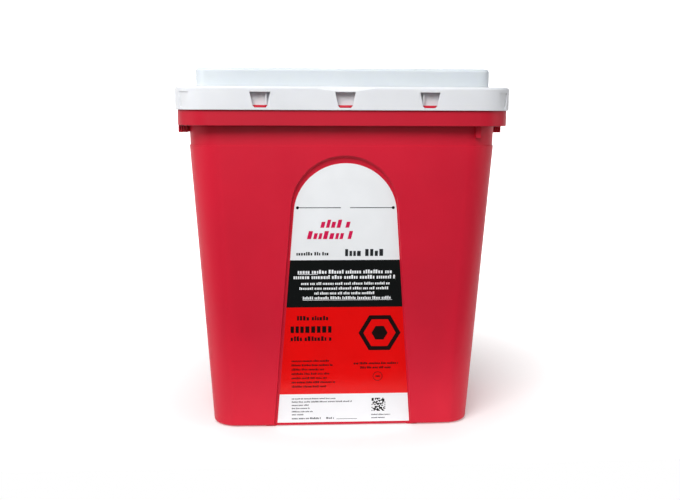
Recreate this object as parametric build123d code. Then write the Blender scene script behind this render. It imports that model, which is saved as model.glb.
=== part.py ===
from build123d import *
import os
from math import cos, radians, sin, tan

# Sharps container: a tapered bin, a lid frame that clips onto it and a hinged cover over its mouth.
# Millimetres. +Z is up, the labelled front faces -Y, and the origin is on the floor under the middle.

# ---- Driving dimensions ----
TOTAL_HEIGHT = 440.0
SKIRT_WIDTH = 394.0           # the lid frame's skirt is the widest thing on the object
SKIRT_DEPTH = 279.0
SKIRT_CORNER = 40.0

# Bin
WALL = 2.5
BASE_HALF_WIDTH = 162.0       # middle of a short side, at floor level
BASE_HALF_DEPTH = 103.3
BASE_CORNER = 30.0
BEND_Z = 350.5                # where the tapered body meets the straighter neck
BEND_HALF_WIDTH = 183.4
BEND_HALF_DEPTH = 124.5
BEND_CORNER = 37.0
FRONT_BOW = 2.5               # how far the long walls bulge outwards in the middle
SIDE_BOW = 1.0
BASE_EDGE_RADIUS = 3.5
FLOOR_RADIUS = 2.5            # inside, where the walls meet the floor
NECK_STEP = 0.9               # the neck starts this far inside the body
NECK_DRAFT = 1.5              # degrees
FOOT_HEIGHT = 1.2
FOOT_X = 89.0
FOOT_LENGTH = 16.0
FOOT_WIDTH = 8.0
FOOT_INSET = 9.0              # from the base's long edges to the middle of a foot

# Rim of the bin, all insets measured inwards from the skirt's outer face
RIM_BOTTOM = 374.0
RIM_TOP = 392.0
RIM_INSET = 2.5
RIM_EDGE_RADIUS = 1.2
RIM_FOOT_RADIUS = 0.8
LIP_TOP = 397.5
LIP_INSET = 4.5
LIP_THICKNESS = 2.5
GUSSET_THICKNESS = 1.6
GUSSET_PITCH = 50.0
FRONT_GUSSETS = (-2, -1, 0, 1, 2)   # in gusset pitches from the middle
SIDE_GUSSETS = (-1, 0, 1)
GUSSET_BOTTOM = 375.0

# Ribbed grips under the rim on the short sides
GRIP_BOTTOM = 365.4
GRIP_HALF_LENGTH = 88.0
GRIP_SHIFT = 10.0             # the left grip sits this far forwards, and the right one as far back
GRIP_RIB = 1.5
GRIP_RIB_PITCH = 2.75
GRIP_RIB_COUNT = 4

# Stacking ribs on the neck
STACK_RIB_X = 157.0
STACK_RIB_WIDTH = 5.7
STACK_RIB_BOTTOM = 360.5
STACK_RIB_PROUD = 1.6         # in front of the neck's flat part
STACK_RIB_ROOT = 3.4          # behind it, because the rib stands where the neck's corner curves away

# Label panel: an arch with flared sides, sunk in the front wall and open at the bottom
FLARE = 4.6                   # degrees, each side
PANEL_SHIFT = 1.0             # the panel sits a little right of the middle
PANEL_DEPTH = 4.2
PANEL_FLOOR_RADIUS = 62.8
PANEL_FLOOR_TOP = 336.5
PANEL_EDGE_RADIUS = 64.2
PANEL_EDGE_TOP = 340.3
PANEL_END = -20.0             # below the floor, because the panel runs out through the base's edge
LABEL_RADIUS = 61.5
LABEL_TOP = 330.8
LABEL_BOTTOM = 4.2
LABEL_THICKNESS = 0.3
LABEL_SHIFT = 2.1             # it was stuck on by hand, right of the panel's middle

# Lid frame
FRAME_WALL = 2.3
SKIRT_BOTTOM = 391.9
SKIRT_FOOT_RADIUS = 0.5
LEDGE_TOP = 418.5
LEDGE_RADIUS = 3.0
PLUG_INSET = 8.0
PLUG_THICKNESS = 2.0
PLUG_STEP_Z = 408.8           # the plug wall is thicker above this height
PLUG_STEP = 0.8
CHANNEL_RIB = 1.5
CHANNEL_RIB_GAP = 0.3         # between the ribs and the bin's lip
CHANNEL_RIB_SPREAD = (-1.5, -0.93, -0.5, 0.5, 0.93, 1.5)  # in window pitches from the middle
SIDE_RIB_SPREAD = (-1.8, 0, 1.8)                          # in side window distances

# Snap windows in the skirt, the bin's lugs behind them, and the blind windows at the corners
WINDOW_BOTTOM = 394.6
WINDOW_TOP = 412.2
WINDOW_TOP_WIDTH = 23.4
WINDOW_BOTTOM_WIDTH = 16.4
WINDOW_CHAMFER = 2.0
WINDOW_PITCH = 97.0           # along the long sides
SIDE_WINDOW_Y = 49.0
CORNER_WINDOW_ANGLE = 44.0    # degrees round the corner from the long side
CORNER_WINDOW_SCALE = 0.72
CORNER_WINDOW_DEPTH = 1.0     # these don't go through the skirt
LUG_INSET = 0.6
LUG_CLEARANCE = 0.3           # above the bar under the window, and at each end
LUG_FACE = 1.0                # height of its upright outer face

# Finger scoop in the front edge of the frame
SCOOP_RADIUS = 250.0
SCOOP_DEPTH = 2.5

# Cover and collar
COVER_WIDTH = 344.5
COVER_DEPTH = 231.0
COVER_CORNER = 14.0
COVER_WALL = 2.2
COVER_EDGE_RADIUS = 4.0
COVER_GAP = 0.4               # between the closed cover and the ledge
COVER_PANEL_INSET = 17.0
COVER_PANEL_DEPTH = 1.0
COLLAR_TOP = 434.0
COLLAR_GAP = 1.8              # between the collar and the cover's inside
COLLAR_THICKNESS = 2.0

# Hinge at the back of the frame: two arms on the cover, each between two ears on the frame
HINGE_Y = 124.5
HINGE_Z = 423.0
HINGE_X = 105.0
ARM_WIDTH = 22.0
BARREL_RADIUS = 4.2
PIN_RADIUS = 2.0
PIN_CLEARANCE = 0.06
PIN_REACH = 3.2               # how far a pin stands out of its arm
EAR_GAP = 0.4
EAR_THICKNESS = 3.4
EAR_HALF_WIDTH = 5.0
EAR_TOP_RADIUS = 4.8
EAR_SLOT = 3.5                # the pins snap in through a slot narrower than they are
OPEN_ANGLE = 110.0
STOP_GAP = 0.1
STOP_LENGTH = 6.0
ARM_SHOULDER = 3.0            # the arm's back rises this far above its stop, where it meets the cover

ROOT = 1.0                    # how far a piece runs into the wall that it stands on

# ---- Worked out from the above ----
SKIRT_HALF_WIDTH = SKIRT_WIDTH / 2
SKIRT_HALF_DEPTH = SKIRT_DEPTH / 2
BODY_RISE = BEND_Z - FOOT_HEIGHT
BODY_DRAFT_SLOPE = (BEND_HALF_DEPTH - BASE_HALF_DEPTH) / BODY_RISE
NECK_GROWTH = (RIM_TOP - BEND_Z) * tan(radians(NECK_DRAFT))
LEDGE_BOTTOM = LEDGE_TOP - FRAME_WALL
COVER_BOTTOM = LEDGE_TOP + COVER_GAP


def ring_outline(inset):
    """Rounded rectangle that runs this far inside the skirt's outer face, all the way round."""
    return RectangleRounded(SKIRT_WIDTH - 2 * inset, SKIRT_DEPTH - 2 * inset, SKIRT_CORNER - inset)


def ring(outer_inset, thickness, bottom, top):
    """Upright wall that follows the skirt's outline."""
    outline = ring_outline(outer_inset) - ring_outline(outer_inset + thickness)
    return Pos(0, 0, bottom) * extrude(outline, amount=top - bottom)


def bowed_outline(half_width, half_depth, corner):
    """Rounded rectangle whose sides bulge outwards, with its middle on the origin."""
    end_x = half_width - SIDE_BOW
    end_y = half_depth - FRONT_BOW
    with BuildSketch() as outline:
        with BuildLine():
            ThreePointArc((-end_x, -end_y), (0, -half_depth), (end_x, -end_y))
            ThreePointArc((end_x, -end_y), (half_width, 0), (end_x, end_y))
            ThreePointArc((end_x, end_y), (0, half_depth), (-end_x, end_y))
            ThreePointArc((-end_x, end_y), (-half_width, 0), (-end_x, -end_y))
        make_face()
        fillet(outline.vertices(), radius=corner)
    return outline.sketch


def body_section(z, inset):
    """Outline of the tapered body at a height, drawn this far inside its outer face."""
    share = (z - FOOT_HEIGHT) / BODY_RISE
    half_width = BASE_HALF_WIDTH + share * (BEND_HALF_WIDTH - BASE_HALF_WIDTH)
    half_depth = BASE_HALF_DEPTH + share * (BEND_HALF_DEPTH - BASE_HALF_DEPTH)
    corner = BASE_CORNER + share * (BEND_CORNER - BASE_CORNER)
    return Pos(0, 0, z) * bowed_outline(half_width - inset, half_depth - inset, corner - inset)


def neck_section(z, inset):
    """Outline of the neck at a height, drawn this far inside its outer face."""
    growth = NECK_GROWTH * (z - BEND_Z) / (RIM_TOP - BEND_Z) - NECK_STEP
    half_width = BEND_HALF_WIDTH + growth - inset
    half_depth = BEND_HALF_DEPTH + growth - inset
    return Pos(0, 0, z) * bowed_outline(half_width, half_depth, BEND_CORNER - inset)


def body_solid():
    """The tapered body as a solid block, with its bottom edge rounded."""
    block = loft([body_section(FOOT_HEIGHT, 0), body_section(BEND_Z, 0)], ruled=True)
    bottom_edges = block.edges().group_by(Axis.Z)[0]
    return fillet(bottom_edges, radius=BASE_EDGE_RADIUS)


def body_cavity():
    """The space inside the body and the neck."""
    floor_z = FOOT_HEIGHT + WALL
    lower = loft([body_section(floor_z, WALL), body_section(BEND_Z, WALL + NECK_STEP)], ruled=True)
    lower = fillet(lower.edges().group_by(Axis.Z)[0], radius=FLOOR_RADIUS)
    upper = loft([neck_section(BEND_Z, WALL), neck_section(RIM_TOP, WALL)], ruled=True)
    return lower + upper


def front_plane(depth):
    """Plane parallel to the front wall's middle, this deep in it, with y up the wall."""
    slant = (1 + BODY_DRAFT_SLOPE**2) ** 0.5
    normal = Vector(0, -1 / slant, -BODY_DRAFT_SLOPE / slant)
    on_wall = Vector(0, -BASE_HALF_DEPTH + BODY_DRAFT_SLOPE * FOOT_HEIGHT, 0)
    return Plane(origin=on_wall - normal * depth, x_dir=(1, 0, 0), z_dir=normal)


def arch(radius, top, bottom):
    """Arch with flared sides: a round head that runs into straight legs. Heights are from the floor."""
    centre_y = top - radius
    shoulder_x = radius * cos(radians(FLARE))
    shoulder_y = centre_y + radius * sin(radians(FLARE))
    foot_x = shoulder_x + (shoulder_y - bottom) * tan(radians(FLARE))
    with BuildSketch() as outline:
        with BuildLine():
            ThreePointArc((shoulder_x, shoulder_y), (0, top), (-shoulder_x, shoulder_y))
            Line((-shoulder_x, shoulder_y), (-foot_x, bottom))
            Line((-foot_x, bottom), (foot_x, bottom))
            Line((foot_x, bottom), (shoulder_x, shoulder_y))
        make_face()
    return outline.sketch


def panel_cut():
    """What the sunk label panel takes from the front wall. Its edge slopes, and more so at the top.

    The slope runs on to twice the panel's depth, so that the cut clears the bowed wall.
    """
    open_radius = 2 * PANEL_EDGE_RADIUS - PANEL_FLOOR_RADIUS
    open_top = 2 * PANEL_EDGE_TOP - PANEL_FLOOR_TOP
    floor_arch = front_plane(PANEL_DEPTH) * arch(PANEL_FLOOR_RADIUS, PANEL_FLOOR_TOP, PANEL_END)
    open_arch = front_plane(-PANEL_DEPTH) * arch(open_radius, open_top, PANEL_END)
    return Pos(PANEL_SHIFT, 0, 0) * loft([floor_arch, open_arch], ruled=True)


def panel_backing(body):
    """The wall behind the label panel, stepped inwards to keep its thickness."""
    outline = arch(PANEL_EDGE_RADIUS + WALL, PANEL_EDGE_TOP + WALL, PANEL_END)
    slab = extrude(front_plane(PANEL_DEPTH + WALL) * outline, amount=WALL + PANEL_DEPTH)
    return (Pos(PANEL_SHIFT, 0, 0) * slab) & body


def window_planes():
    """Planes on the skirt's outer face at each snap window: x along the skirt, y up, z outwards."""
    planes = []
    for x in (-WINDOW_PITCH, 0, WINDOW_PITCH):
        for side in (-1, 1):
            middle = (x, side * SKIRT_HALF_DEPTH, 0)
            planes.append(Plane(origin=middle, x_dir=(-side, 0, 0), z_dir=(0, side, 0)))
    for y in (-SIDE_WINDOW_Y, SIDE_WINDOW_Y):
        for side in (-1, 1):
            middle = (side * SKIRT_HALF_WIDTH, y, 0)
            planes.append(Plane(origin=middle, x_dir=(0, side, 0), z_dir=(side, 0, 0)))
    return planes


def corner_planes():
    """The same planes for the blind windows at the skirt's four corners."""
    planes = []
    for side_x in (-1, 1):
        for side_y in (-1, 1):
            out_x = side_x * sin(radians(CORNER_WINDOW_ANGLE))
            out_y = side_y * cos(radians(CORNER_WINDOW_ANGLE))
            x = side_x * (SKIRT_HALF_WIDTH - SKIRT_CORNER) + SKIRT_CORNER * out_x
            y = side_y * (SKIRT_HALF_DEPTH - SKIRT_CORNER) + SKIRT_CORNER * out_y
            planes.append(Plane(origin=(x, y, 0), x_dir=(-out_y, out_x, 0), z_dir=(out_x, out_y, 0)))
    return planes


def window_cut(plane, scale=1.0):
    """Trapezoid hole through the skirt, wider at the top, with its bottom corners cut off.

    The scale is that of its width.
    """
    half_top = scale * WINDOW_TOP_WIDTH / 2
    half_bottom = scale * WINDOW_BOTTOM_WIDTH / 2
    with BuildSketch() as outline:
        with BuildLine():
            Polyline(
                (-half_top, WINDOW_TOP),
                (-half_bottom, WINDOW_BOTTOM + WINDOW_CHAMFER),
                (-half_bottom + WINDOW_CHAMFER, WINDOW_BOTTOM),
                (half_bottom - WINDOW_CHAMFER, WINDOW_BOTTOM),
                (half_bottom, WINDOW_BOTTOM + WINDOW_CHAMFER),
                (half_top, WINDOW_TOP),
                close=True,
            )
        make_face()
    return extrude(plane * outline.sketch, amount=PLUG_INSET / 2, both=True)


def lug(plane):
    """Snap lug on the bin's lip: flat underneath, and sloped on top so the skirt rides over it."""
    length = WINDOW_BOTTOM_WIDTH - 2 * (WINDOW_CHAMFER + LUG_CLEARANCE)
    bottom = WINDOW_BOTTOM + LUG_CLEARANCE
    root = -LIP_INSET - LIP_THICKNESS / 2
    with BuildSketch(Plane.YZ) as outline:
        with BuildLine():
            Polyline(
                (root, bottom),
                (-LUG_INSET, bottom),
                (-LUG_INSET, bottom + LUG_FACE),
                (-LIP_INSET, LIP_TOP),
                (root, LIP_TOP),
                close=True,
            )
        make_face()
    bar = extrude(outline.sketch, amount=length / 2, both=True)
    # The bar is drawn with x along the skirt and y outwards, so it is turned to stand on the window's plane.
    return Plane(origin=plane.origin, x_dir=-plane.x_dir, z_dir=(0, 0, 1)) * bar


def rim():
    """Flange round the top of the bin, with a band that hangs from it and a lip that stands on it."""
    flange_bottom = RIM_TOP - WALL
    block = Pos(0, 0, RIM_BOTTOM) * extrude(ring_outline(RIM_INSET), amount=RIM_TOP - RIM_BOTTOM)
    block = fillet(block.edges().group_by(Axis.Z)[-1], radius=RIM_EDGE_RADIUS)
    block = fillet(block.edges().group_by(Axis.Z)[0], radius=RIM_FOOT_RADIUS)
    under = extrude(ring_outline(RIM_INSET + WALL), amount=flange_bottom - RIM_BOTTOM)
    block = block - Pos(0, 0, RIM_BOTTOM) * under
    return block + ring(LIP_INSET, LIP_THICKNESS, flange_bottom, LIP_TOP)


def upright_rib(centre_x, centre_y, size_x, size_y, bottom):
    """Box that hangs from the rim's flange down to a height."""
    height = RIM_TOP - WALL / 2 - bottom
    return Pos(centre_x, centre_y, bottom + height / 2) * Box(size_x, size_y, height)


def rim_ribs():
    """What hangs under the flange: gussets, the grips' long ribs and the stacking ribs on the neck."""
    ribs = []
    neck_x = BEND_HALF_WIDTH - NECK_STEP
    neck_y = BEND_HALF_DEPTH - NECK_STEP
    outer_x = SKIRT_HALF_WIDTH - RIM_INSET
    outer_y = SKIRT_HALF_DEPTH - RIM_INSET
    for side in (-1, 1):
        for share in FRONT_GUSSETS:
            reach = outer_y - neck_y
            y = side * (neck_y + reach / 2 - ROOT)
            ribs.append(upright_rib(share * GUSSET_PITCH, y, GUSSET_THICKNESS, reach, GUSSET_BOTTOM))
        for share in SIDE_GUSSETS:
            reach = outer_x - neck_x
            x = side * (neck_x + reach / 2 - ROOT)
            ribs.append(upright_rib(x, share * GUSSET_PITCH, reach, GUSSET_THICKNESS, GUSSET_BOTTOM))
        for i in range(GRIP_RIB_COUNT):
            x = side * (outer_x - GRIP_RIB / 2 - i * GRIP_RIB_PITCH)
            ribs.append(upright_rib(x, side * GRIP_SHIFT, GRIP_RIB, 2 * GRIP_HALF_LENGTH, GRIP_BOTTOM))
        rib_depth = STACK_RIB_PROUD + STACK_RIB_ROOT
        y = side * (neck_y + STACK_RIB_PROUD - rib_depth / 2)
        ribs.append(upright_rib(-side * STACK_RIB_X, y, STACK_RIB_WIDTH, rib_depth, STACK_RIB_BOTTOM))
    return ribs


def feet():
    """Four low pads under the corners of the base."""
    pads = []
    for x in (-FOOT_X, FOOT_X):
        for y in (-BASE_HALF_DEPTH + FOOT_INSET, BASE_HALF_DEPTH - FOOT_INSET):
            pad = extrude(SlotOverall(FOOT_LENGTH, FOOT_WIDTH), amount=FOOT_HEIGHT + WALL / 2)
            pads.append(Pos(x, y, 0) * pad)
    return pads


def make_container():
    """The bin: tapered body, neck, rim, lip with lugs, ribs, label panel and feet."""
    body = body_solid()
    neck = loft([neck_section(BEND_Z, 0), neck_section(RIM_TOP, 0)], ruled=True)
    bin_solid = body + neck + rim()
    for rib in rim_ribs():
        bin_solid += rib
    bin_solid -= body_cavity()
    bin_solid += panel_backing(body)
    bin_solid -= panel_cut()
    for pad in feet():
        bin_solid += pad
    for plane in window_planes():
        bin_solid += lug(plane)
    return bin_solid


def make_label():
    """Printed film on the floor of the label panel."""
    outline = arch(LABEL_RADIUS, LABEL_TOP, LABEL_BOTTOM)
    film = extrude(front_plane(PANEL_DEPTH) * outline, amount=LABEL_THICKNESS)
    return Pos(LABEL_SHIFT, 0, 0) * film


def scoop_ball(radius):
    """Large ball that grazes the frame's front top edge, for the finger scoop."""
    slope = radians(45)
    edge_set_in = LEDGE_RADIUS * (1 - cos(slope))
    reach = (SCOOP_RADIUS - SCOOP_DEPTH) * cos(slope)
    centre_y = -SKIRT_HALF_DEPTH + edge_set_in - reach
    centre_z = LEDGE_TOP - edge_set_in + reach
    return Pos(0, centre_y, centre_z) * Sphere(radius)


def collar_outline(gap):
    """Rounded rectangle this far inside the cover's walls."""
    inset = COVER_WALL + gap
    return RectangleRounded(COVER_WIDTH - 2 * inset, COVER_DEPTH - 2 * inset, COVER_CORNER - inset)


def channel_ribs():
    """Thin ribs across the channel between the skirt and the plug wall."""
    ribs = []
    bottom = LIP_TOP + CHANNEL_RIB_GAP
    height = LEDGE_TOP - FRAME_WALL / 2 - bottom
    middle_z = bottom + height / 2
    length = PLUG_INSET - FRAME_WALL + ROOT
    inset = FRAME_WALL - ROOT / 2 + length / 2
    for side in (-1, 1):
        for share in CHANNEL_RIB_SPREAD:
            x = share * WINDOW_PITCH
            y = side * (SKIRT_HALF_DEPTH - inset)
            ribs.append(Pos(x, y, middle_z) * Box(CHANNEL_RIB, length, height))
        for share in SIDE_RIB_SPREAD:
            x = side * (SKIRT_HALF_WIDTH - inset)
            y = share * SIDE_WINDOW_Y
            ribs.append(Pos(x, y, middle_z) * Box(length, CHANNEL_RIB, height))
    return ribs


def hinge_ear(x):
    """Upright ear with a bore for a hinge pin and a slot above it that the pin snaps in through."""
    with BuildSketch(Plane.YZ) as outline:
        with Locations((HINGE_Y, HINGE_Z)):
            Circle(EAR_TOP_RADIUS)
        base_depth = HINGE_Z - LEDGE_BOTTOM - FRAME_WALL / 2
        with Locations((HINGE_Y, HINGE_Z - base_depth / 2)):
            Rectangle(2 * EAR_HALF_WIDTH, base_depth)
        with Locations((HINGE_Y, HINGE_Z)):
            Circle(PIN_RADIUS + PIN_CLEARANCE, mode=Mode.SUBTRACT)
        with Locations((HINGE_Y, HINGE_Z + EAR_TOP_RADIUS / 2 + ROOT)):
            Rectangle(EAR_SLOT, EAR_TOP_RADIUS, mode=Mode.SUBTRACT)
    return Pos(x, 0, 0) * extrude(outline.sketch, amount=EAR_THICKNESS / 2, both=True)


def make_lid_frame():
    """The clip-on frame: skirt with windows, ledge, plug wall, collar round the mouth and hinge ears."""
    block = Pos(0, 0, SKIRT_BOTTOM) * extrude(ring_outline(0), amount=LEDGE_TOP - SKIRT_BOTTOM)
    block = fillet(block.edges().group_by(Axis.Z)[-1], radius=LEDGE_RADIUS)
    block = fillet(block.edges().group_by(Axis.Z)[0], radius=SKIRT_FOOT_RADIUS)
    inside = extrude(ring_outline(FRAME_WALL), amount=LEDGE_BOTTOM - SKIRT_BOTTOM)
    inside = fillet(inside.edges().group_by(Axis.Z)[-1], radius=LEDGE_RADIUS - FRAME_WALL)
    inside = Pos(0, 0, SKIRT_BOTTOM) * inside
    frame = block - inside
    backing = scoop_ball(SCOOP_RADIUS + FRAME_WALL) & inside
    frame = frame + backing - scoop_ball(SCOOP_RADIUS)
    plug = ring(PLUG_INSET, PLUG_THICKNESS, RIM_TOP, LEDGE_TOP - FRAME_WALL / 2)
    plug_top = ring(PLUG_INSET - PLUG_STEP, PLUG_THICKNESS, PLUG_STEP_Z, LEDGE_TOP - FRAME_WALL / 2)
    frame = frame + plug + plug_top
    for rib in channel_ribs():
        frame += rib
    collar_height = COLLAR_TOP - LEDGE_BOTTOM
    collar = extrude(collar_outline(COLLAR_GAP), amount=collar_height)
    mouth = extrude(collar_outline(COLLAR_GAP + COLLAR_THICKNESS), amount=collar_height, both=True)
    frame = frame + Pos(0, 0, LEDGE_BOTTOM) * collar - Pos(0, 0, LEDGE_TOP) * mouth
    for plane in window_planes():
        frame -= window_cut(plane)
    corner_skin = ring(-CORNER_WINDOW_DEPTH, 2 * CORNER_WINDOW_DEPTH, SKIRT_BOTTOM, LEDGE_TOP)
    for plane in corner_planes():
        frame -= window_cut(plane, CORNER_WINDOW_SCALE) & corner_skin
    for hinge_x in (-HINGE_X, HINGE_X):
        for side in (-1, 1):
            frame += hinge_ear(hinge_x + side * (ARM_WIDTH / 2 + EAR_GAP + EAR_THICKNESS / 2))
    return frame


def hinge_arm():
    """Arm behind the cover: a barrel on the hinge axis, and a nose that meets the ledge when fully open."""
    stop_tilt = radians(OPEN_ANGLE - 90)
    reach = HINGE_Z - LEDGE_TOP - STOP_GAP
    nose_y = reach * cos(stop_tilt)
    nose_z = reach * sin(stop_tilt)
    tip_y = nose_y - STOP_LENGTH * sin(stop_tilt)
    tip_z = nose_z + STOP_LENGTH * cos(stop_tilt)
    wall_y = COVER_DEPTH / 2 - COVER_WALL / 2 - HINGE_Y
    with BuildSketch(Plane.YZ) as outline:
        Circle(BARREL_RADIUS)
        with BuildLine():
            Polyline(
                (wall_y, COVER_BOTTOM - HINGE_Z),
                (0, -BARREL_RADIUS),
                (0, 0),
                (nose_y, nose_z),
                (tip_y, tip_z),
                (wall_y, tip_z + ARM_SHOULDER),
                close=True,
            )
        make_face()
    arm = Pos(0, HINGE_Y, HINGE_Z) * extrude(outline.sketch, amount=ARM_WIDTH / 2, both=True)
    pin_length = ARM_WIDTH + 2 * PIN_REACH
    pin = Pos(0, HINGE_Y, HINGE_Z) * Rot(0, 90, 0) * Cylinder(PIN_RADIUS, pin_length)
    return arm + pin


def make_cover():
    """Shallow cap over the collar, with a sunk panel in its top and two hinge arms at the back."""
    height = TOTAL_HEIGHT - COVER_BOTTOM
    outline = RectangleRounded(COVER_WIDTH, COVER_DEPTH, COVER_CORNER)
    cap = Pos(0, 0, COVER_BOTTOM) * extrude(outline, amount=height)
    cap = fillet(cap.edges().group_by(Axis.Z)[-1], radius=COVER_EDGE_RADIUS)
    hollow = extrude(collar_outline(0), amount=height - COVER_WALL)
    hollow = fillet(hollow.edges().group_by(Axis.Z)[-1], radius=COVER_EDGE_RADIUS - COVER_WALL)
    cap = cap - Pos(0, 0, COVER_BOTTOM) * hollow
    panel_width = COVER_WIDTH - 2 * COVER_PANEL_INSET
    panel_depth = COVER_DEPTH - 2 * COVER_PANEL_INSET
    step = COVER_WALL / 2
    backing = RectangleRounded(panel_width + 2 * step, panel_depth + 2 * step, COVER_CORNER)
    backing_bottom = TOTAL_HEIGHT - COVER_PANEL_DEPTH - COVER_WALL
    cap += Pos(0, 0, backing_bottom) * extrude(backing, amount=COVER_WALL)
    panel = RectangleRounded(panel_width, panel_depth, COVER_CORNER - step)
    cap -= Pos(0, 0, TOTAL_HEIGHT - COVER_PANEL_DEPTH) * extrude(panel, amount=2 * COVER_PANEL_DEPTH)
    for hinge_x in (-HINGE_X, HINGE_X):
        cap += Pos(hinge_x, 0, 0) * hinge_arm()
    return cap


os.makedirs("parts", exist_ok=True)
nodes = {
    "container": make_container(),
    "lid_frame": make_lid_frame(),
    "cover": make_cover(),
    "label": make_label(),
}
for name, solid in nodes.items():
    export_step(solid, f"parts/{name}.step")
    print(name, len(solid.solids()), round(solid.volume), solid.bounding_box())
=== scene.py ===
import math
import random

import bmesh
import bpy
from mathutils import Matrix, Vector


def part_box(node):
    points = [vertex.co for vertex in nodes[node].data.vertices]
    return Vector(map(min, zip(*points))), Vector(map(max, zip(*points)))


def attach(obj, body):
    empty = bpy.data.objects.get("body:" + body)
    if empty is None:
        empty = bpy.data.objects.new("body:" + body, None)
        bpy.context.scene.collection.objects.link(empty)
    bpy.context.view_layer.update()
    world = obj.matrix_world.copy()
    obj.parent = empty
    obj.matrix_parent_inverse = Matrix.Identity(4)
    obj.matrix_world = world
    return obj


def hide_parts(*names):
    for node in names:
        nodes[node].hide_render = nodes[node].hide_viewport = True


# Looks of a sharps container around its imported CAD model. Everything is in metres.
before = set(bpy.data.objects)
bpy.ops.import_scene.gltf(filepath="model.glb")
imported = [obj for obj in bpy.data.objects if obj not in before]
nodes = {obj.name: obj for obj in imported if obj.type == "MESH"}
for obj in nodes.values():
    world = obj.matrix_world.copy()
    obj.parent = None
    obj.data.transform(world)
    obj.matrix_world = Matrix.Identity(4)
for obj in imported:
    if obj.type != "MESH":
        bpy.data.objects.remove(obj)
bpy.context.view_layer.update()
MM = 0.001
SMOOTH_ANGLE = math.radians(28)

# ---- Label: a flat film on the sloping front panel ----
LABEL_LOW, LABEL_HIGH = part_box("label")
LABEL_MIDDLE_X = (LABEL_LOW.x + LABEL_HIGH.x) / 2
FILM_THICKNESS = 0.3 * MM
INK_LIFT = 0.04 * MM          # how far print stands in front of the film
INK_THICKNESS = 0.03 * MM
LABEL_SLOPE = (LABEL_HIGH.y - LABEL_LOW.y - FILM_THICKNESS) / (LABEL_HIGH.z - LABEL_LOW.z)
LABEL_FOOT_Y = LABEL_HIGH.y - FILM_THICKNESS
ARCH_RADIUS = 61.5 * MM
ARCH_FLARE = math.radians(4.6)
ARCH_STEPS = 64
ARCH_CENTRE_Z = LABEL_HIGH.z - ARCH_RADIUS
BLACK_TOP = 213.8 * MM
BLACK_BOTTOM = 154.7 * MM
RED_BOTTOM = 42.1 * MM

# ---- Colours, linear ----
RED_PLASTIC = (0.575, 0.0085, 0.030)
MILKY_WHITE = (0.69, 0.705, 0.74)
# The cover's white: a greyer copy of the milky white, partly its own bluish tint and partly painted shade
COVER_SHADED_WHITE = (0.60, 0.645, 0.695)
FILM_WHITE = (0.83, 0.85, 0.87)
PRINT_BLACK = (0.003, 0.004, 0.004)
PRINT_RED = (0.75, 0.001, 0.001)
TITLE_RED = (0.60, 0.008, 0.075)
NAME_GREY = (0.018, 0.020, 0.023)
SMALL_GREY = (0.03, 0.033, 0.036)
DARK_ON_RED = (0.008, 0.002, 0.002)

# ---- Plastic and film ----
NOISE_SPAN = (0.3, 0.7)       # where most of a noise's values lie
EDGE_SPAN = (0.52, 0.62)      # pointiness from flat to edge
PLASTIC_TONES = (0.95, 1.05)
# Tints of the painted edge highlight, paler than the plastic
EDGE_HIGHLIGHT_TONES = (1.25, 1.4)
FILM_TONES = (0.965, 1.02)
INK_TONES = (0.9, 1.1)
PLASTIC_IOR = 1.49
RED_DEPTH = (0.004, 0.0006, 0.0006)
MILKY_DEPTH = (0.006, 0.006, 0.007)
# Height where the rim's painted shade begins, and how far it fades in
RIM_BOTTOM = 374.0 * MM
RIM_BLEND = 2.0 * MM
FILM_ROUGHNESS = 0.18
FILM_SHEEN = 0.3
INK_SHEEN = 0.15

# ---- Studio ----
WORLD_STRENGTH = 0.16
TABLE_WHITE = (0.78, 0.78, 0.78)
TABLE_GLOW = (0.20, 0.75)     # the table is a light table, brighter away from the object
GLOW_REACH = (0.15, 0.45)     # from the middle of the object
KEY_POWER = 20.6
LEFT_POWER = 9
RIGHT_POWER = 9.5
FILL_POWER = 3.5
BACK_POWER = 2
BACKDROP_POWER = 70
BACKDROP_Y = 3.5


# ======================= Materials =======================
def shader_tree(name, roughness):
    """New node material: its tree, its shader and a texture coordinate fixed to the object."""
    material = bpy.data.materials.new(name)
    material.use_nodes = True
    tree = material.node_tree
    shader = tree.nodes["Principled BSDF"]
    shader.inputs["Roughness"].default_value = roughness
    place = tree.nodes.new("ShaderNodeTexCoord").outputs["Object"]
    return material, tree, shader, place


def noise(tree, place, scale, detail, stretch=None):
    """Noise texture's value, at a scale per metre."""
    if stretch:
        mapping = tree.nodes.new("ShaderNodeMapping")
        mapping.inputs["Scale"].default_value = stretch
        tree.links.new(place, mapping.inputs["Vector"])
        place = mapping.outputs["Vector"]
    texture = tree.nodes.new("ShaderNodeTexNoise")
    texture.inputs["Scale"].default_value = scale
    texture.inputs["Detail"].default_value = detail
    tree.links.new(place, texture.inputs["Vector"])
    return texture.outputs["Fac"]


def map_range(tree, value, source, target=(0.0, 1.0)):
    """Number that runs over the target range as the value runs over the source range."""
    node = tree.nodes.new("ShaderNodeMapRange")
    node.inputs["From Min"].default_value, node.inputs["From Max"].default_value = source
    node.inputs["To Min"].default_value, node.inputs["To Max"].default_value = target
    tree.links.new(value, node.inputs["Value"])
    return node.outputs["Result"]


def tint(colour, factor):
    """Colour made darker or lighter by a factor."""
    return tuple(min(1.0, part * factor) for part in colour)


def toned(tree, value, colour, factors):
    """Colour that a noise varies between two tints of it."""
    node = tree.nodes.new("ShaderNodeValToRGB")
    for element, position, factor in zip(node.color_ramp.elements, NOISE_SPAN, factors):
        element.position = position
        element.color = (*tint(colour, factor), 1)
    tree.links.new(value, node.inputs["Fac"])
    return node.outputs["Color"]


def bump(tree, shader, layers):
    """Bump from several noises: (value, depth in metres), one node after the other."""
    normal = None
    for value, depth in layers:
        node = tree.nodes.new("ShaderNodeBump")
        node.inputs["Strength"].default_value = 1.0
        node.inputs["Distance"].default_value = depth
        tree.links.new(value, node.inputs["Height"])
        if normal:
            tree.links.new(normal, node.inputs["Normal"])
        normal = node.outputs["Normal"]
    tree.links.new(normal, shader.inputs["Normal"])


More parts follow.
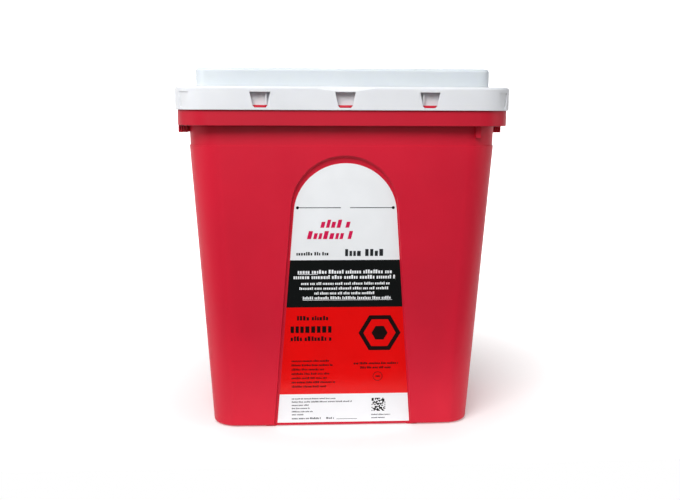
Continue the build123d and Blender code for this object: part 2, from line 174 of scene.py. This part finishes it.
def mix(tree, factor, first, second):
    """Mixes two colour sockets by a factor socket."""
    node = tree.nodes.new("ShaderNodeMix")
    node.data_type = "RGBA"
    tree.links.new(factor, node.inputs["Factor"])
    tree.links.new(first, node.inputs["A"])
    tree.links.new(second, node.inputs["B"])
    return node.outputs["Result"]


def painted_rim_shade_mask(tree, place):
    """Mask for the rim's painted shade: 1 on the bin's rim and 0 below it."""
    split = tree.nodes.new("ShaderNodeSeparateXYZ")
    tree.links.new(place, split.inputs["Vector"])
    return map_range(tree, split.outputs["Z"], (RIM_BOTTOM - RIM_BLEND, RIM_BOTTOM))


def moulded_plastic(name, colour, roughness, sheen, scatter, depth, edge_light=0.0, rim_shade_tint=1.0):
    """Satin moulded plastic: cloudy colour, fine grain, flow ripple and light scuffs.

    Scatter and depth are how much light spreads under the surface, and how far. Edge light paints a highlight
    that makes the edges paler, and the rim's shade tint paints shade that makes the colour deeper on the rim.
    """
    material, tree, shader, place = shader_tree(name, roughness)
    cloudy = noise(tree, place, scale=9, detail=3)
    base = toned(tree, cloudy, colour, PLASTIC_TONES)
    # Painted shade: the rim's colour is darkened to hold down how bright it shows under the key light
    if rim_shade_tint < 1.0:
        rim = toned(tree, cloudy, tint(colour, rim_shade_tint), PLASTIC_TONES)
        base = mix(tree, painted_rim_shade_mask(tree, place), base, rim)
    # Painted highlight: edges found by pointiness are made paler
    if edge_light > 0.0:
        painted_edge_highlight = toned(tree, cloudy, colour, EDGE_HIGHLIGHT_TONES)
        pointiness = tree.nodes.new("ShaderNodeNewGeometry").outputs["Pointiness"]
        base = mix(tree, map_range(tree, pointiness, EDGE_SPAN, (0.0, edge_light)), base, painted_edge_highlight)
    tree.links.new(base, shader.inputs["Base Color"])
    scuffs = noise(tree, place, scale=60, detail=4, stretch=(1.0, 1.0, 0.15))
    scuffed = map_range(tree, scuffs, NOISE_SPAN, (roughness - 0.05, roughness + 0.07))
    tree.links.new(scuffed, shader.inputs["Roughness"])
    shader.inputs["Subsurface Weight"].default_value = scatter
    shader.inputs["Subsurface Radius"].default_value = depth
    shader.inputs["Subsurface Scale"].default_value = 1.0
    shader.inputs["IOR"].default_value = PLASTIC_IOR
    shader.inputs["Specular IOR Level"].default_value = sheen
    ripple = noise(tree, place, scale=22, detail=1)
    grain = noise(tree, place, scale=2600, detail=2)
    bump(tree, shader, [(ripple, 0.35 * MM), (grain, 0.02 * MM)])
    return material


def film(name, colour, roughness):
    """Printed film: smooth, with slow ripples from being stuck on by hand."""
    material, tree, shader, place = shader_tree(name, roughness)
    cloudy = noise(tree, place, scale=25, detail=2)
    tree.links.new(toned(tree, cloudy, colour, FILM_TONES), shader.inputs["Base Color"])
    smears = noise(tree, place, scale=40, detail=3)
    smeared = map_range(tree, smears, NOISE_SPAN, (roughness - 0.04, roughness + 0.06))
    tree.links.new(smeared, shader.inputs["Roughness"])
    shader.inputs["Specular IOR Level"].default_value = FILM_SHEEN
    ripple = noise(tree, place, scale=18, detail=1)
    paper = noise(tree, place, scale=900, detail=2)
    bump(tree, shader, [(ripple, 0.12 * MM), (paper, 0.006 * MM)])
    return material


def ink(name, colour, roughness):
    """Printed ink: slightly uneven in tone."""
    material, tree, shader, place = shader_tree(name, roughness)
    mottled = noise(tree, place, scale=500, detail=2)
    tree.links.new(toned(tree, mottled, colour, INK_TONES), shader.inputs["Base Color"])
    shader.inputs["Specular IOR Level"].default_value = INK_SHEEN
    bump(tree, shader, [(mottled, 0.004 * MM)])
    return material


def dress(node, material):
    """Gives a CAD node its material and smooth shading, broken at real edges."""
    piece = nodes[node]
    piece.data.materials.clear()
    piece.data.materials.append(material)
    smooth(piece)


def smooth(piece):
    """Smooth shading, except over sharper edges."""
    bpy.context.view_layer.objects.active = piece
    for other in bpy.context.selected_objects:
        other.select_set(False)
    piece.select_set(True)
    bpy.ops.object.shade_smooth_by_angle(angle=SMOOTH_ANGLE)


# ======================= Label film =======================
def on_label(x, z, lift):
    """Point on the label's face, x from the label's middle line and z up, this far in front of it."""
    slant = math.hypot(1, LABEL_SLOPE)
    y = LABEL_FOOT_Y - LABEL_SLOPE * (z - LABEL_LOW.z)
    return Vector((LABEL_MIDDLE_X + x, y - lift / slant, z - lift * LABEL_SLOPE / slant))


def plate(mesh, outline, lift, thickness):
    """Adds a thin closed plate on the label to a bmesh. The outline is (x, z) points."""
    front = [mesh.verts.new(on_label(x, z, lift + thickness)) for x, z in outline]
    back = [mesh.verts.new(on_label(x, z, lift)) for x, z in outline]
    mesh.faces.new(front)
    mesh.faces.new(back[::-1])
    for i in range(len(outline)):
        j = (i + 1) % len(outline)
        mesh.faces.new((front[i], back[i], back[j], front[j]))


def finish_piece(mesh, name, materials):
    """Turns a bmesh into an object that rides on the bin."""
    bmesh.ops.recalc_face_normals(mesh, faces=mesh.faces)
    data = bpy.data.meshes.new(name)
    mesh.to_mesh(data)
    mesh.free()
    piece = bpy.data.objects.new(name, data)
    for material in materials:
        piece.data.materials.append(material)
    bpy.context.scene.collection.objects.link(piece)
    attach(piece, "bin")
    return piece


def film_outline():
    """The film's outline, from the bottom left corner round the arch. The sides flare towards the foot."""
    shoulder_z = ARCH_CENTRE_Z + ARCH_RADIUS * math.sin(ARCH_FLARE)
    foot = ARCH_RADIUS * math.cos(ARCH_FLARE) + (shoulder_z - LABEL_LOW.z) * math.tan(ARCH_FLARE)
    points = [(-foot, LABEL_LOW.z)]
    for i in range(ARCH_STEPS + 1):
        angle = math.pi - ARCH_FLARE - (math.pi - 2 * ARCH_FLARE) * i / ARCH_STEPS
        x = ARCH_RADIUS * math.cos(angle)
        points.append((x, ARCH_CENTRE_Z + ARCH_RADIUS * math.sin(angle)))
    points.append((foot, LABEL_LOW.z))
    return points


def make_film(white, black, red):
    """The film as one sheet, cut at the borders of its white, black and red zones."""
    mesh = bmesh.new()
    plate(mesh, film_outline(), -FILM_THICKNESS, FILM_THICKNESS)
    for z in (BLACK_TOP, BLACK_BOTTOM, RED_BOTTOM):
        everything = list(mesh.verts) + list(mesh.edges) + list(mesh.faces)
        bmesh.ops.bisect_plane(mesh, geom=everything, plane_co=(0, 0, z), plane_no=(0, 0, 1))
    for face in mesh.faces:
        z = face.calc_center_median().z
        if BLACK_BOTTOM < z < BLACK_TOP:
            face.material_index = 1
        elif RED_BOTTOM < z < BLACK_BOTTOM:
            face.material_index = 2
    piece = finish_piece(mesh, "printed_film", [white, black, red])
    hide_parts("label")


# ======================= Print =======================
# Places on the film are in millimetres: x from its middle line and z from the floor.
BLOCK_SHARE = 0.68            # a block's width, as a share of its pitch
LOW_BLOCK = 0.74              # a low block's height, as a share of the line's
WORD_GAP = 0.4                # as a share of the line's height
DISC_SIDES = 24
RING_SIDES = 48


def bar(left, right, low, high):
    """Outline of an upright bar."""
    return [(left * MM, low * MM), (right * MM, low * MM), (right * MM, high * MM), (left * MM, high * MM)]


def polygon(x, z, radius, sides):
    """Outline of a regular polygon. With many sides it is a disc."""
    points = []
    for i in range(sides):
        turn = 2 * math.pi * i / sides
        points.append(((x + radius * math.cos(turn)) * MM, (z + radius * math.sin(turn)) * MM))
    return points


def print_plate(mesh, outline):
    """Adds a thin closed plate of ink."""
    plate(mesh, outline, INK_LIFT, INK_THICKNESS)


def print_ring(mesh, x, z, outer, inner, sides):
    """Adds a thin closed ring of ink."""
    loops = []
    for lift, radius in (
        (INK_LIFT, inner),
        (INK_LIFT, outer),
        (INK_LIFT + INK_THICKNESS, outer),
        (INK_LIFT + INK_THICKNESS, inner),
    ):
        loops.append([mesh.verts.new(on_label(px, pz, lift)) for px, pz in polygon(x, z, radius, sides)])
    for first, second in zip(loops, loops[1:] + loops[:1]):
        for i in range(len(first)):
            j = (i + 1) % len(first)
            mesh.faces.new((first[i], second[i], second[j], first[j]))


def greeked_line(mesh, left, right, base, height, dice, lean):
    """Adds a line of plain blocks in word-like groups. It stands for a line of text, and spells nothing.

    Three blocks in four are low and the rest as high as the line.
    """
    x = left
    while x + height / 2 < right:
        for _ in range(dice.randint(3, 8)):
            pitch = height * dice.uniform(0.5, 0.8)
            top = base + height * dice.choice((LOW_BLOCK, LOW_BLOCK, LOW_BLOCK, 1.0))
            if x + pitch > right:
                break
            outline = bar(x, x + BLOCK_SHARE * pitch, base, top)
            print_plate(mesh, [(px + lean * (pz - base * MM), pz) for px, pz in outline])
            x += pitch
        x += WORD_GAP * height


def print_lines(name, material, lines, seed, lean=0.0):
    """Greeked lines in one ink. Each line is its left end, right end, base and height."""
    mesh = bmesh.new()
    dice = random.Random(seed)
    for left, right, base, height in lines:
        greeked_line(mesh, left, right, base, height, dice, lean)
    finish_piece(mesh, name, [material])


def print_bars(name, material, bars):
    """Plain bars in one ink. Each bar is its left end, right end, bottom and top."""
    mesh = bmesh.new()
    for edges in bars:
        print_plate(mesh, bar(*edges))
    finish_piece(mesh, name, [material])


def make_fill_line(grey, black):
    """Thin level line with a gap in the middle, and a dot at each end."""
    height = 277.6
    reach = 57.0
    gap = 5.5
    half_thickness = 0.45
    dot_radius = 1.8
    line = bmesh.new()
    dots = bmesh.new()
    for side in (-1, 1):
        ends = sorted((side * gap, side * (reach - dot_radius)))
        print_plate(line, bar(*ends, height - half_thickness, height + half_thickness))
        print_plate(dots, polygon(side * reach, height, dot_radius, DISC_SIDES))
    finish_piece(line, "fill_line", [grey])
    finish_piece(dots, "fill_line_ends", [black])


def make_emblem(material):
    """Plain six-sided mark: a broad frame with a small solid hexagon in its middle."""
    mesh = bmesh.new()
    x = 43.4
    z = 121.5
    sides = 6
    print_ring(mesh, x, z, outer=26.0, inner=20.0, sides=sides)
    print_plate(mesh, polygon(x, z, radius=10.0, sides=sides))
    finish_piece(mesh, "hexagon_mark", [material])


def make_ring_mark(material):
    """Small thin ring with a short bar in it."""
    mesh = bmesh.new()
    x = 42.0
    z = 64.8
    half_bar = 2.6
    half_thickness = 0.8
    print_ring(mesh, x, z, outer=6.0, inner=5.4, sides=RING_SIDES)
    print_plate(mesh, bar(x - half_bar, x + half_bar, z - half_thickness, z + half_thickness))
    finish_piece(mesh, "ring_mark", [material])


def make_check_square(material):
    """Square of random checks. It holds no data."""
    mesh = bmesh.new()
    seed = 11
    dice = random.Random(seed)
    cells = 13
    side = 17.5
    cell = side / cells
    left = 35.0
    low = 18.4
    for column in range(cells):
        for row in range(cells):
            if dice.random() < 0.5:
                x = left + column * cell
                z = low + row * cell
                print_plate(mesh, bar(x, x + cell, z, z + cell))
    finish_piece(mesh, "check_square", [material])


def make_print():
    """All the print on the film, with every line of text greeked."""
    black = ink("ink_black", PRINT_BLACK, 0.4)
    white = ink("ink_white", FILM_WHITE, 0.4)
    name_grey = ink("ink_name_grey", NAME_GREY, 0.45)
    small_grey = ink("ink_small_grey", SMALL_GREY, 0.45)
    title = ink("ink_title", TITLE_RED, 0.4)
    dark = ink("ink_dark", DARK_ON_RED, 0.4)
    make_fill_line(small_grey, black)
    titles = [(-30, 13.5, 253.4, 9.8), (-46, 13.5, 239.6, 9.8)]
    print_lines("title_print", title, titles, seed=3, lean=math.tan(math.radians(14)))
    print_lines("note_print", black, [(-58.5, -18, 219.6, 4.2)], seed=5)
    print_lines("name_print", name_grey, [(0, 52, 218.6, 8.6)], seed=8)
    caution = [(-57, 60, 197.0, 4.6), (-62, 64, 190.4, 4.6), (-53, 57, 183.0, 3.3)]
    caution += [(-55, 54, 177.0, 3.3), (-37, 38, 170.9, 3.3), (-51, 58, 164.8, 3.5)]
    print_lines("caution_print", white, caution, seed=13)
    print_bars("underlines", white, [(-51, 58, 163.6, 164.1), (-57, -33, 195.8, 196.3)])
    hazard = [(-58, -17, 138.2, 5.6), (-66, -11, 122.2, 11.4), (-66, -11, 111.8, 6.0)]
    print_lines("hazard_print", dark, hazard, seed=21)
    paragraph_ends = (-18, -13, -23, -17, -19, -10, -21)
    paragraph = [(-65, right, 84.6 - 5.6 * i, 2.7) for i, right in enumerate(paragraph_ends)]
    print_lines("paragraph_print", dark, paragraph, seed=34)
    print_lines("side_print", dark, [(12, 69, 80.6, 3.0), (20, 60, 75.0, 3.0)], seed=55)
    address = [(-65, -10, 35.2, 1.9), (-65, 11, 31.0, 1.9), (-65, -43, 26.6, 1.9)]
    address += [(-65, -42, 22.4, 1.9), (-65, -38, 18.0, 1.9), (-65, -50, 14.0, 1.9)]
    foot = [(-65, -28, 8.6, 2.4), (-22, -11, 8.6, 2.4)]
    under_square = [(35, 60, 12.8, 1.8), (35, 53, 8.6, 1.8)]
    print_lines("small_print", small_grey, address + foot + under_square, seed=89)
    print_bars("blank_line", small_grey, [(-9, 17, 8.3, 8.8)])
    make_emblem(dark)
    make_ring_mark(dark)
    make_check_square(black)


# ======================= Stage =======================
def make_floor():
    """Plain pale table that ends a little in front of the object and curves up into a backdrop far behind."""
    width = 12.0
    front = -0.22
    radius = 1.0
    top = 1.3
    steps = 16
    bend = BACKDROP_Y - radius
    profile = [(front, 0.0), (bend, 0.0)]
    for i in range(1, steps + 1):
        angle = math.radians(90 * i / steps)
        profile.append((bend + radius * math.sin(angle), radius * (1 - math.cos(angle))))
    profile.append((BACKDROP_Y, top))
    mesh = bmesh.new()
    rows = [[mesh.verts.new((x, y, z)) for x in (-width / 2, width / 2)] for y, z in profile]
    for low, high in zip(rows, rows[1:]):
        mesh.faces.new((low[0], low[1], high[1], high[0]))
    data = bpy.data.meshes.new("floor")
    mesh.to_mesh(data)
    mesh.free()
    floor = bpy.data.objects.new("floor", data)
    for face in data.polygons:
        face.use_smooth = True
    floor.data.materials.append(table_material())
    bpy.context.scene.collection.objects.link(floor)


def table_material():
    """Matt white that glows, more so away from the object."""
    material, tree, shader, place = shader_tree("floor_paper", 0.9)
    shader.inputs["Base Color"].default_value = (*TABLE_WHITE, 1)
    shader.inputs["Emission Color"].default_value = (1, 1, 1, 1)
    away = tree.nodes.new("ShaderNodeVectorMath")
    away.operation = "LENGTH"
    tree.links.new(place, away.inputs[0])
    glow = map_range(tree, away.outputs["Value"], GLOW_REACH, TABLE_GLOW)
    tree.links.new(glow, shader.inputs["Emission Strength"])
    return material


def soft_light(name, place, target, size, power):
    """White area light that points at a target. Its size is its width and height."""
    data = bpy.data.lights.new(name, "AREA")
    data.shape = "RECTANGLE"
    data.size, data.size_y = size
    data.energy = power
    light = bpy.data.objects.new(name, data)
    light.location = place
    light.rotation_euler = (Vector(target) - Vector(place)).to_track_quat("-Z", "Y").to_euler()
    bpy.context.scene.collection.objects.link(light)


def make_lights():
    """A softbox high in front, weaker ones low in front, at both sides and behind, and the backdrop's own."""
    middle = (0, 0, 0.22)
    backdrop = (0, BACKDROP_Y, 0.5)
    soft_light("key_light", (-0.38, -1.02, 1.22), middle, (0.8, 0.75), KEY_POWER)
    soft_light("left_light", (-2.0, -0.7, 0.8), middle, (1.0, 1.0), LEFT_POWER)
    soft_light("right_light", (2.0, -0.7, 0.8), middle, (1.0, 1.0), RIGHT_POWER)
    soft_light("fill_light", (-0.1, -2.3, 0.55), middle, (1.0, 0.8), FILL_POWER)
    soft_light("back_light", (0.5, 1.7, 1.9), middle, (1.4, 0.8), BACK_POWER)
    soft_light("backdrop_light", (0, 1.2, 1.6), backdrop, (6.0, 0.8), BACKDROP_POWER)
    make_world()


def make_world():
    """The room around: white to look at, and dim in what it lights."""
    world = bpy.data.worlds.new("studio")
    world.use_nodes = True
    tree = world.node_tree
    seen = tree.nodes.new("ShaderNodeLightPath").outputs["Is Camera Ray"]
    strength = map_range(tree, seen, (0.0, 1.0), (WORLD_STRENGTH, 1.0))
    background = tree.nodes["Background"]
    background.inputs["Color"].default_value = (1, 1, 1, 1)
    tree.links.new(strength, background.inputs["Strength"])
    bpy.context.scene.world = world


def make_camera():
    """Camera a little to the left of the object and just below its cover's height, looking slightly down."""
    place = Vector((-0.0610, -1.1182, 0.3957))
    yaw = math.radians(3.24)
    pitch = math.radians(9.56)
    roll = math.radians(0.245)
    data = bpy.data.cameras.new("camera")
    data.sensor_width = 36
    data.lens = 45.0
    camera = bpy.data.objects.new("camera", data)
    turn = (
        Matrix.Rotation(-yaw, 4, "Z")
        @ Matrix.Rotation(math.pi / 2 - pitch, 4, "X")
        @ Matrix.Rotation(roll, 4, "Z")
    )
    camera.matrix_world = Matrix.Translation(place) @ turn
    bpy.context.scene.collection.objects.link(camera)
    bpy.context.scene.camera = camera


def dress_mouldings():
    """The three moulded pieces. The shallow cover has a greyer copy of the frame's milky white: partly its
    own bluish tint, partly painted shade that keeps it from showing too bright under the light from above.
    """
    red = moulded_plastic(
        "red_plastic",
        RED_PLASTIC,
        roughness=0.45,
        sheen=0.25,
        scatter=0.05,
        depth=RED_DEPTH,
        # Painted highlight on the edges
        edge_light=0.25,
        # Painted shade on the rim
        rim_shade_tint=0.83,
    )
    milky = moulded_plastic(
        "milky_plastic",
        MILKY_WHITE,
        roughness=0.45,
        sheen=0.12,
        scatter=0.35,
        depth=MILKY_DEPTH,
    )
    cover_plastic_shaded = moulded_plastic(
        "milky_cover_shaded_plastic",
        COVER_SHADED_WHITE,
        roughness=0.43,
        sheen=0.12,
        scatter=0.8,
        depth=MILKY_DEPTH,
    )
    dress("container", red)
    dress("lid_frame", milky)
    dress("cover", cover_plastic_shaded)


def make_label():
    """The printed film on the front panel."""
    white_film = film("film_white", FILM_WHITE, FILM_ROUGHNESS)
    black_film = film("film_black", PRINT_BLACK, FILM_ROUGHNESS)
    red_film = film("film_red", PRINT_RED, FILM_ROUGHNESS)
    make_film(white_film, black_film, red_film)
    make_print()


# ======================= Build =======================
make_camera()
make_lights()
make_floor()
dress_mouldings()
make_label()
bpy.context.scene.view_settings.view_transform = "Standard"
